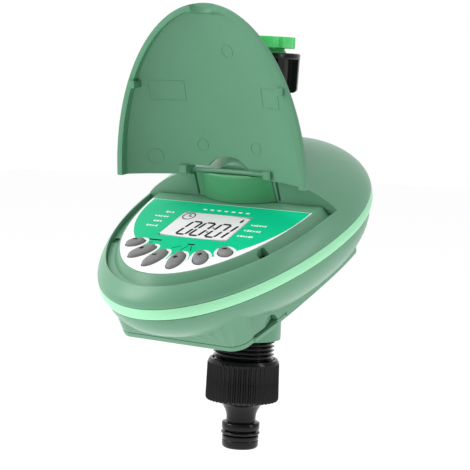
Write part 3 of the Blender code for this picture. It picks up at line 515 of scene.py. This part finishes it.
def cut_for_keys(thing, halo):
    """The display opening, and a hole with a margin of halo for each key."""
    cut(thing, box("window", (-LCD_HALF - GAP, LCD_FRONT - GAP, 0), (LCD_HALF + GAP, LCD_REAR + GAP, 10)))
    for entry in BUTTONS:
        cut(thing, button_prism("key_hole", entry, halo, 0, 10))


def make_control_panel():
    rear = BACK_WALL - GAP
    levels = ((0.3, rear, LEDGE_LEVEL + GAP), (0.3, rear, GROOVE_LEVEL),
              (3.4, rear - 0.6, GROOVE_LEVEL), (5.8, rear - 0.6, PANEL_LEVEL))
    panel = oval_loft("panel_deck", levels)
    cut_for_keys(panel, 0.4)
    for side in (-1, 1):
        near, far = sorted((side * 34.2, side * 40.0))
        cut(panel, box("latch_slot", (near, -48.4, 0), (far, -44.0, 5.8)))
    cut(panel, cylinder("pipe_space", (0, 0, -20), (0, 0, 40), VALVE_RADIUS + 0.4, PIPE))
    piece(panel, CASE, nodes=("control_panel",), soft_edge=0.45)


def print_outline():
    """The emerald field: it meets the film's rear edge and leaves a white margin that widens to the front."""
    rear = LABEL_REAR - 0.25
    left, right = (39.4, 45.0), (40.1, 48.5)
    points = []
    for step in range(97):
        angle = math.pi * step / 96
        half_width, length = right if math.cos(angle) > 0 else left
        points.append((half_width * math.cos(angle), rear - length * math.sin(angle)))
    return points


def bar(name, centre, length, width, level, material, heading=0.0, body="root", thick=0.05):
    """A short printed dash with round ends."""
    outline = []
    for end in (1, -1):
        for step in range(9):
            angle = math.radians(-90 + 180 * step / 8) + (0 if end > 0 else math.pi)
            x = end * (length - width) / 2 + width / 2 * math.cos(angle)
            outline.append((x, width / 2 * math.sin(angle)))
    turn = Matrix.Translation((centre[0] * MM, centre[1] * MM, 0)) @ Matrix.Rotation(heading, 4, "Z")
    return piece(prism(name, outline, level, level + thick, EGG @ turn), material, body)


def make_label():
    film = prism("label_film", half_oval(6.6, LABEL_REAR), LABEL_TOP - 0.3, LABEL_TOP - 0.04)
    cut_for_keys(film, 0.4)
    piece(film, WHITE, nodes=("panel_label",))
    field = prism("label_field", print_outline(), LABEL_TOP - 0.04, LABEL_TOP)
    keep_inside(field, prism("film_limit", half_oval(6.9, LABEL_REAR - 0.1), 0, 20))
    cut_for_keys(field, 1.7)
    piece(field, EMERALD)
    words_left = ((-23.6, -24.6, 4.6), (-25.2, -28.7, 7.4), (-24.4, -33.0, 4.8), (-24.6, -37.2, 6.0))
    words_right = ((24.2, -29.0, 8.0), (24.0, -33.8, 8.6), (23.4, -38.6, 8.0))
    for index, (x, y, length) in enumerate(words_left + words_right):
        make_word(f"label_line_{index + 1}", x, y, length)
    for index in range(7):
        bar(f"day_mark_{index + 1}", (-9.0 + 3.6 * index, -19.6), 2.0, 0.9, LABEL_TOP, WHITE)
    bar("mode_line", (-15.0, -48.6), 6.4, 0.9, LABEL_TOP, INK)
    bar("mode_leader", (-15.6, -51.2), 1.6, 0.3, LABEL_TOP, INK, math.radians(75))
    bar("set_line", (3.6, -49.4), 3.6, 0.9, LABEL_TOP, INK)
    for index, (x, heading) in enumerate(((-1.6, 38), (2.4, 72), (5.6, 118))):
        bar(f"set_leader_{index + 1}", (x, -52.6), 4.4, 0.3, LABEL_TOP, INK, math.radians(heading))


def make_word(name, x, y, length):
    """A row of plain dashes of uneven length, in place of a printed word."""
    dashes = max(3, round(length / 1.4))
    pitch = length / dashes
    row = []
    for index in range(dashes):
        size = pitch * (0.62 + 0.12 * math.sin(2.4 * index + x))
        start = x - length / 2 + pitch * index
        height = 0.55 + 0.12 * math.cos(1.7 * index + y)
        row.append(box(name, (start, y - height, LABEL_TOP), (start + size, y + height, LABEL_TOP + 0.05)))
    join(*row)
    return piece(row[0], WHITE)


def segment(name, start, end, level, width=1.2):
    middle = ((start[0] + end[0]) / 2, (start[1] + end[1]) / 2)
    length = math.dist(start, end)
    return bar(name, middle, length, width, level, INK, math.atan2(end[1] - start[1], end[0] - start[0]))


def make_display():
    bow = 0.9
    outline = []
    for side in (1, -1):
        edge = LCD_REAR - bow if side > 0 else LCD_FRONT + bow
        for step in range(25):
            part = -1 + 2 * step / 24
            outline.append((-side * part * LCD_HALF, edge + side * bow * (1 - part * part)))
    lens = prism("display_window", outline, PANEL_LEVEL - 1.2, PANEL_LEVEL + 0.55)
    piece(lens, DISPLAY, nodes=("lcd_lens",), soft_edge=0.25)
    surface = PANEL_LEVEL + 0.55
    low, high, lean, half = -42.2, -30.8, 1.9, 2.3
    middle = (low + high) / 2
    strokes = {"top": ((-half, high), (half, high)), "bottom": ((-half, low), (half, low)),
               "left_top": ((-half, high), (-half, middle)), "left_bottom": ((-half, middle), (-half, low)),
               "right_top": ((half, high), (half, middle)), "right_bottom": ((half, middle), (half, low))}
    shown = (("hour_tens", -6.0, strokes), ("hour_units", 0.6, strokes), ("minute_tens", 8.5, strokes),
             ("minute_units", 12.0, ("right_top", "right_bottom")))
    for digit, centre, parts in shown:
        for part in parts:
            ends = []
            for x, y in strokes[part]:
                ends.append((centre + x + lean * (y - middle) / (high - low), y))
            near, far = Vector(ends[0]), Vector(ends[1])
            trim = (far - near).normalized() * 0.35
            segment(f"{digit}_{part}", tuple(near + trim), tuple(far - trim), surface)
    for index, y in enumerate((middle - 1.9, middle + 1.9)):
        bar(f"colon_{index + 1}", (4.6 + 0.17 * (y - middle), y), 1.0, 0.95, surface, INK)
    ring = []
    for radius, level in ((3.0, 0.0), (3.0, 0.05), (2.5, 0.05), (2.5, 0.0)):
        ring.append((radius, level))
    clock = turned("clock_ring", ring, EGG @ Matrix.Translation((-12.6 * MM, -26.8 * MM, surface * MM)), 48)
    piece(clock, INK)
    segment("clock_hand_1", (-12.6, -26.8), (-12.6, -24.9), surface, 0.5)
    segment("clock_hand_2", (-12.6, -26.8), (-11.0, -26.8), surface, 0.5)
    drop = []
    for step in range(32):
        angle = 2 * math.pi * step / 32
        swell = math.sin(angle / 2) ** 1.5
        drop.append((14.3 + 0.95 * math.sin(angle) * swell, -26.6 + 1.7 * math.cos(angle)))
    piece(prism("drop_mark", drop, surface, surface + 0.05), INK)


def make_buttons():
    crown = ((0.0, 3.0), (0.0, 7.0), (-0.1, 7.35), (-0.32, 7.65), (-0.75, 7.95), (-1.3, 8.15), (-1.9, 8.26),
             (-2.5, KEY_TOP))
    for index, entry in enumerate(BUTTONS):
        name = f"button_{index + 1}"
        rings = [button_ring(entry, grow, level) for grow, level in crown]
        key = loft(f"key_{index + 1}", rings, EGG @ button_place(entry[0], entry[1]))
        piece(key, RUBBER, name, (name,), sharp=60)
        spot = (entry[0], entry[1] + 0.3)
        bar(f"key_mark_{index + 1}", spot, 2.2, 0.9, KEY_MARK_ROOT, INK, 0.2, name, 0.36)
        if index in (1, 3, 4):
            heading = 0.2 + math.pi / 2
            bar(f"key_cross_{index + 1}", spot, 2.2, 0.9, KEY_MARK_ROOT, INK, heading, name, 0.35)


# ---- lid ----------------------------------------------------------------------------------
def ring_mark(x, y, radius):
    ring = cylinder("mark_ring", (x, y, 4), (x, y, 30), radius, segments=48)
    cut(ring, cylinder("mark_core", (x, y, 3), (x, y, 31), radius - MARK_WIDTH, segments=48))
    return ring


def frame_mark(low_x, high_x, low_y, high_y):
    outside = box("mark_box", (low_x, low_y, 4), (high_x, high_y, 30))
    low, high = (low_x + MARK_WIDTH, low_y + MARK_WIDTH, 3), (high_x - MARK_WIDTH, high_y - MARK_WIDTH, 31)
    cut(outside, box("mark_box_core", low, high))
    return outside


def lid_marks():
    """Ejector rings and core lines that stand 0.14 mm proud of the lid's inner face."""
    marks = ring_mark(*MARK_RINGS[0])
    join(marks, *(ring_mark(*entry) for entry in MARK_RINGS[1:]))
    join(marks, *(frame_mark(*entry) for entry in MARK_FRAMES))
    keep_inside(marks, loft("marks_outer", dome_rings(LID_WALL - 0.15, BAND_TOP)))
    cut(marks, loft("marks_inner", dome_rings(LID_WALL + 0.14, BAND_TOP - 1)))
    marks.name = "lid_mould_marks"
    return marks


def add_knuckles_and_latches(lid):
    for side in (-1, 1):
        near, far = side * NOTCH_HALF, side * KNUCKLE_END
        knuckle = cylinder("lid_knuckle", (near + side * 0.1, *HINGE), (far, *HINGE), KNUCKLE_RADIUS)
        low, high = sorted((near + side * 0.15, far - side * 0.2))
        root = box("knuckle_root", (low, HINGE[0] - 2.15, 15.0), (high, HINGE[0] + 1.2, HINGE[1] - 0.1))
        join(lid, knuckle, root)
        near, far = sorted((side * LATCH_NEAR, side * LATCH_FAR))
        join(lid, box("lid_latch", (near, LATCH_FRONT, LID_RIM_LEVEL - 1.3), (far, LATCH_REAR, 6.5)))


def add_finger_scoop(lid):
    """A trough across the rim at the tip.  Its skin stays clear of the panel deck when the lid is shut."""
    rear = -20.0
    skin = ball("scoop_skin", (0, -79.6, 1.6), (8.4, 8.8, 5.0))
    keep_inside(skin, loft("scoop_limit", dome_rings(0.5, BAND_TOP)))
    keep_inside(skin, prism("scoop_rim", half_oval(1.0, rear), LID_RIM_LEVEL + 0.05, 40))
    deck = ((3.0, rear, 1.5), (3.0, rear, 2.8), (5.4, rear, 6.4), (5.4, rear, 12.0))
    cut(skin, oval_loft("deck_space", deck))
    join(lid, skin)
    hollow = ball("finger_scoop", (0, -81.0, 1.2), (6.9, 8.8, 4.3))
    keep_inside(hollow, loft("scoop_floor", dome_rings(0.8, BAND_TOP - 3)))
    cut(lid, hollow)


def make_lid():
    """The lid is shaped shut and then turned open about its bar, as the frame holds it."""
    lid = loft("lid_shell", dome_rings(0.0, BAND_TOP))
    keep_inside(lid, prism("lid_outside", half_oval(0.4, BACK_WALL - 0.5), LID_RIM_LEVEL, 40))
    inside = loft("lid_cavity", dome_rings(LID_WALL, BAND_TOP))
    keep_inside(inside, prism("lid_inside", half_oval(2.9, BACK_WALL + 3.0), 0, 40))
    cut(lid, inside)
    cut(lid, box("lid_notch", (-NOTCH_HALF, HINGE[0] - NOTCH_DEPTH, 0), (NOTCH_HALF, 0, 40)))
    arch_centre = HINGE[0] + ARCH_SHIFT
    cut(lid, cylinder("lid_arch", (0, arch_centre, 0), (0, arch_centre, 40), ARCH_RADIUS))
    add_knuckles_and_latches(lid)
    add_finger_scoop(lid)
    marks = lid_marks()
    for thing in (lid, marks):
        thing.data.transform(OPEN @ EGG.inverted())
    piece(lid, LID, "lid", ("lid",), soft_edge=0.3)
    piece(marks, LID, "lid")


def make_hinge_bar():
    """The bar across the notch, a little slimmer in the middle."""
    rings = []
    for row in range(25):
        part = -1 + 2 * row / 24
        radius = PIN_RADIUS - 0.18 * (1 - part ** 4)
        ring = []
        for step in range(40):
            angle = 2 * math.pi * step / 40
            y, z = HINGE[0] + radius * math.cos(angle), HINGE[1] + radius * math.sin(angle)
            ring.append((HINGE_HALF * part, y, z))
        rings.append(ring)
    piece(loft("hinge_bar", rings, OPEN), LID, "lid", ("lid_hinge_pin",))


# ---- water way ----------------------------------------------------------------------------
def thread(radius, height, angle):
    """A rounded hose thread: only the outer wall below the collar carries it."""
    if radius < THREAD_RADIUS - 0.01:
        return radius
    phase = (height / THREAD_PITCH + angle / (2 * math.pi)) % 1.0
    crest = min(1.0, max(0.0, 1.2 - abs(phase - 0.5) * 4.6))
    return radius - 1.3 * (1 - crest)


def make_outlet_tube():
    rows = [(8.4, -17.6), (8.4, -22.3), (VALVE_RADIUS, -22.3), (VALVE_RADIUS, -29.0), (12.2, -30.0)]
    height = -50.0
    while height > -79.0:
        rows.append((THREAD_RADIUS, height))
        height -= THREAD_PITCH / 12
    rows += [(12.0, -80.2), (8.6, -80.2), (8.6, -40.0), (5.2, -34.0), (5.2, -17.6)]
    tube = turned("threaded_outlet", rows, segments=120, reach=thread)
    piece(tube, BLACK, nodes=("outlet_tube",), sharp=70)


def ribs(radius, height, angle):
    """Straight grip ribs round the nut, fading into the chamfer at its top."""
    if radius < 14.9 or height > -68.0:
        return radius
    wave = (angle * 44 / (2 * math.pi)) % 1.0
    crest = min(1.0, max(0.0, 1.4 - abs(wave - 0.5) * 5.0))
    return radius - 0.95 * (1 - crest) * min(1.0, (-68.0 - height) / 0.9)


def make_outlet_connector():
    profile = [(13.6, -66.4), (14.7, -66.5), (15.1, -67.2), (15.5, -68.0), (15.55, -68.4), (15.6, -69.0),
               (15.75, -76.0), (15.9, -83.2), (15.8, -84.0), (15.4, -84.6), (9.5, -84.6), (9.4, -84.8),
               (9.4, -86.0)]
    for step in range(13):
        part = step / 12
        profile.append((6.35 + 2.35 * (1 - math.sin(part * math.pi / 2)) ** 1.3, -86.6 - 6.6 * part))
    profile += [(6.3, -94.1), (7.9, -94.4), (8.2, -94.7), (8.2, -97.3), (7.9, -97.6), (7.2, -97.8),
                (6.8, -98.0), (6.8, -99.9), (7.6, -100.1), (7.95, -100.4), (7.95, -101.6), (7.75, -101.8),
                (7.75, -102.2),
                (7.95, -102.4), (7.9, -104.6), (7.6, -105.2), (7.1, -105.6), (4.9, -105.6), (4.8, -105.5),
                (4.8, -82.9), (12.6, -82.9), (13.6, -81.0)]
    nut = turned("hose_connector", profile, segments=352, reach=ribs)
    piece(nut, BLACK, "outlet_connector", ("outlet_connector",), sharp=46)
    rings = []
    for step in range(24):
        angle = 2 * math.pi * step / 24
        rings.append((7.75 + 0.65 * math.sin(angle), -98.95 + 0.65 * math.cos(angle)))
    piece(turned("nozzle_ring", rings, segments=96), SEAL, "outlet_connector", ("nozzle_o_ring",), sharp=80)


def make_swivel_nut():
    """The inlet nut: a collar over a sleeve, with eight grip wings below the collar."""
    profile = ((18.2, 65.2), (18.6, 64.8), (18.6, 63.1), (18.3, 62.7), (15.5, 62.5), (15.2, 48.0),
               (10.9, 48.0), (10.9, 50.4), (14.0, 50.4), (14.0, 62.0), (13.4, 62.0), (13.4, 65.2))
    nut = turned("grip_nut", profile)
    for index in range(8):
        turn = Matrix.Rotation(2 * math.pi * (index + 0.5) / 8, 4, "Z")
        outline = [(14.6, 63.4), (14.6, 48.6)]
        for step in range(9):
            angle = math.radians(-90 + 80 * step / 8)
            outline.append((16.1 + 2.0 * math.cos(angle), 50.6 + 2.0 * math.sin(angle)))
        outline.append((18.5, 63.4))
        rings = [[(x, y, z) for x, z in outline] for y in (-1.7, 1.7)]
        join(nut, loft("nut_wing", rings, PIPE @ turn))
    piece(nut, BLACK, "swivel_nut", ("swivel_nut",), soft_edge=0.3)


def lobes(radius, height, angle):
    """Eight broad lobes round the adapter's ring, with short hollows between them."""
    if radius < 15.9:
        return radius
    wave = (angle * 8 / (2 * math.pi) + 0.5) % 1.0
    crest = min(1.0, max(0.0, 3.6 - abs(wave - 0.5) * 8.0))
    return radius - 1.1 * (1 - crest)


def make_inlet_adapter():
    profile = ((16.0, 72.0), (16.2, 71.7), (16.2, 67.6), (15.95, 67.2), (12.1, 67.2), (11.9, 67.0),
               (11.9, 66.4), (13.1, 65.0), (13.1, 61.6), (7.6, 61.6), (7.6, 63.0), (SOCKET_RADIUS, 63.0),
               (SOCKET_RADIUS, 71.6), (SOCKET_RADIUS + 0.4, 72.0))
    adapter = turned("tap_ring", profile, segments=256, reach=lobes)
    piece(adapter, SPRING_GREEN, "swivel_nut", ("inlet_adapter",), sharp=42)


# ---- carried-over frame nodes ---------------------------------------------------------------
def paint_nodes():
    """Give every CAD node that stays in view the material of its slot."""
    slots = {entry["node"]: entry["material_slot"] for entry in frame["record"]["subparts"]}
    for name, node in frame["nodes"].items():
        node.data.materials.clear()
        node.data.materials.append(FOR_SLOT[slots[name]])


# ---- stage --------------------------------------------------------------------------------
FOCAL_PIXELS, FRAME_PIXELS, SENSOR = 1766.0, 470.0, 36.0
EYE = Vector((0.4153, -0.6321, -0.0145))
VIEW_AZIMUTH, VIEW_ELEVATION, VIEW_ROLL = 33.757, 5.351, 2.427
WALL_LIGHT = (0.22, 1.18)          # dimmest and brightest wall
FLOOR_GLOW = 0.27                  # lifts the floor to the backdrop's white


def make_camera():
    azimuth, elevation, roll = (math.radians(turn) for turn in (VIEW_AZIMUTH, VIEW_ELEVATION, VIEW_ROLL))
    flat = math.cos(elevation)
    back = Vector((math.sin(azimuth) * flat, -math.cos(azimuth) * flat, math.sin(elevation)))
    right = Vector((math.cos(azimuth), math.sin(azimuth), 0))
    up = back.cross(right)
    side = right * math.cos(roll) + up * math.sin(roll)
    top = up * math.cos(roll) - right * math.sin(roll)
    data = bpy.data.cameras.new("view")
    data.sensor_width = SENSOR
    data.lens = FOCAL_PIXELS / FRAME_PIXELS * SENSOR
    data.clip_end = 50.0
    camera = bpy.data.objects.new("view", data)
    camera.matrix_world = Matrix.Translation(EYE) @ Matrix((side, top, back)).transposed().to_4x4()
    bpy.context.scene.collection.objects.link(camera)
    bpy.context.scene.camera = camera


def area_light(name, place, target, size, power):
    data = bpy.data.lights.new(name, "AREA")
    data.shape = "RECTANGLE"
    data.size, data.size_y = size
    data.energy = power
    light = bpy.data.objects.new(name, data)
    heading = (Vector(target) - Vector(place)).to_track_quat("-Z", "Y")
    light.matrix_world = Matrix.Translation(place) @ heading.to_matrix().to_4x4()
    bpy.context.scene.collection.objects.link(light)


def make_stage():
    bm = bmesh.new()
    bmesh.ops.create_circle(bm, cap_ends=True, segments=96, radius=6.0)
    mesh = bpy.data.meshes.new("floor")
    bm.to_mesh(mesh)
    bm.free()
    floor = bpy.data.objects.new("floor", mesh)
    floor.location.z = CAD_BOX[0][2] - 0.25
    bpy.context.scene.collection.objects.link(floor)
    pale = moulded("pale_floor", (0.93, 0.93, 0.93), 0.8, drift=0.01, grain=0.0, gloss=0.0)
    shader = pale.node_tree.nodes["Principled BSDF"]
    shader.inputs["Emission Color"].default_value = (1, 1, 1, 1)
    shader.inputs["Emission Strength"].default_value = FLOOR_GLOW
    mesh.materials.append(pale)
    make_world()
    middle = (0, 0, -0.07)
    area_light("key", (-0.75, -0.75, 0.55), middle, (0.6, 0.8), 7.5)
    area_light("top", (0.1, -0.2, 1.2), middle, (0.7, 0.5), 4.0)
    area_light("side", (1.1, 0.25, 0.35), middle, (0.25, 0.9), 3.5)


def make_world():
    """Studio walls: bright to the left and behind, dimmer to the front right, white in the picture."""
    world = bpy.data.worlds.new("studio")
    world.use_nodes = True
    nodes, links = world.node_tree.nodes, world.node_tree.links
    place = nodes.new("ShaderNodeTexCoord")
    towards = nodes.new("ShaderNodeVectorMath")
    towards.operation = "DOT_PRODUCT"
    towards.inputs[1].default_value = Vector((-0.95, 0.25, 0.2)).normalized()
    links.new(place.outputs["Generated"], towards.inputs[0])
    strength = nodes.new("ShaderNodeMapRange")
    strength.inputs["From Min"].default_value = -1.0
    strength.inputs["To Min"].default_value = WALL_LIGHT[0]
    strength.inputs["To Max"].default_value = WALL_LIGHT[1]
    links.new(towards.outputs["Value"], strength.inputs["Value"])
    seen = nodes.new("ShaderNodeLightPath")
    choice = nodes.new("ShaderNodeMix")
    choice.inputs[3].default_value = 1.0
    links.new(seen.outputs["Is Camera Ray"], choice.inputs[0])
    links.new(strength.outputs["Result"], choice.inputs[2])
    links.new(choice.outputs[0], nodes["Background"].inputs["Strength"])
    nodes["Background"].inputs["Color"].default_value = (1, 1, 1, 1)
    bpy.context.scene.world = world
    bpy.context.scene.view_settings.view_transform = "Standard"


make_camera()
make_stage()
paint_nodes()
make_upper_shell()
make_trim_band()
make_lower_shell()
make_battery_door()
make_hinge_block()
make_control_panel()
make_label()
make_display()
make_buttons()
make_lid()
make_hinge_bar()
make_outlet_tube()
make_outlet_connector()
make_swivel_nut()
make_inlet_adapter()
